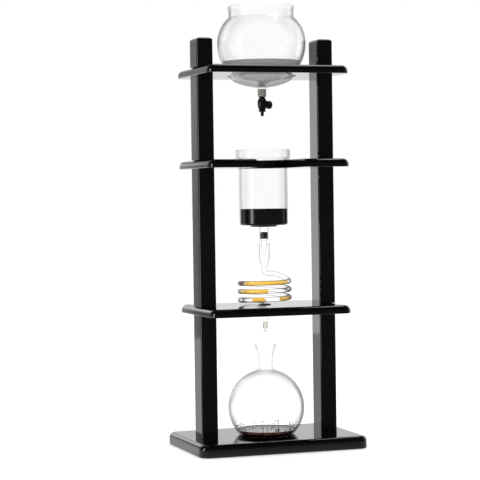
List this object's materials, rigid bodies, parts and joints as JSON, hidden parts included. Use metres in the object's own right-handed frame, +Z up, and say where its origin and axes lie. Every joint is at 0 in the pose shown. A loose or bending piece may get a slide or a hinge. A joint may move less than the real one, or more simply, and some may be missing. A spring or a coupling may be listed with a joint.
{
  "type": "cold drip coffee tower",
  "caption": "Black lacquered stand with a glass water globe and drip tap over a coffee chamber, a glass coil and a round carafe.",
  "frame": {"origin": "on the ground, under the middle of the base board", "axes": "+X right, +Y back, +Z up along the posts"},
  "size_m": [0.32, 0.22, 0.81],
  "materials": {
    "black_lacquer": "black high-gloss lacquer",
    "black_rubber": "matte",
    "stopper_rubber": "matte, grey-brown",
    "clear_glass": "clear",
    "black_plastic": "glossy black",
    "steel": "plain"
  },
  "bodies": {
    "stand": {"lower_shelf": "black_lacquer", "middle_shelf": "black_lacquer", "top_shelf": "black_lacquer", "front_left_foot": "black_rubber", "front_right_foot": "black_rubber", "rear_left_foot": "black_rubber", "rear_right_foot": "black_rubber", "left_lower_post": "black_lacquer", "left_middle_post": "black_lacquer", "left_upper_post": "black_lacquer", "left_finial": "black_lacquer", "right_lower_post": "black_lacquer", "right_middle_post": "black_lacquer", "right_upper_post": "black_lacquer", "right_finial": "black_lacquer", "base_board": "black_lacquer", "shelf_studs": "steel", "base_bolts": "steel", "outlet_grommet": "black_rubber"},
    "globe": {"globe_vessel": "clear_glass", "drain_seal": "black_rubber", "drain_stopper": "stopper_rubber", "tap_body": "black_plastic"},
    "tap_key": {"tap_plug": "black_plastic", "tap_knob": "black_plastic"},
    "chamber": {"chamber_glass": "clear_glass", "chamber_cap": "black_plastic", "chamber_seal": "black_rubber", "filter_disc": "steel", "spout_tube": "clear_glass", "spout_ring": "black_rubber"},
    "coil": {"coil_glass": "clear_glass"},
    "carafe": {"carafe_glass": "clear_glass"}
  },
  "joints": [
    {"name": "globe_lift", "type": "slide", "parent": "stand", "child": "globe", "axis": [0, 0, 1], "range_m": [0, 0.15]},
    {"name": "tap_turn", "type": "hinge", "parent": "globe", "child": "tap_key", "pos_m": [0, 0, 0.6295], "axis": [1, 0, 0], "range_deg": [0, 90]},
    {"name": "chamber_lift", "type": "slide", "parent": "stand", "child": "chamber", "axis": [0, 0, 1], "range_m": [0, 0.1]},
    {"name": "coil_lift", "type": "slide", "parent": "stand", "child": "coil", "axis": [0, 0, 1], "range_m": [0, 0.015]},
    {"name": "carafe_slide", "type": "slide", "parent": "stand", "child": "carafe", "axis": [0, -1, 0], "range_m": [0, 0.2]}
  ]
}
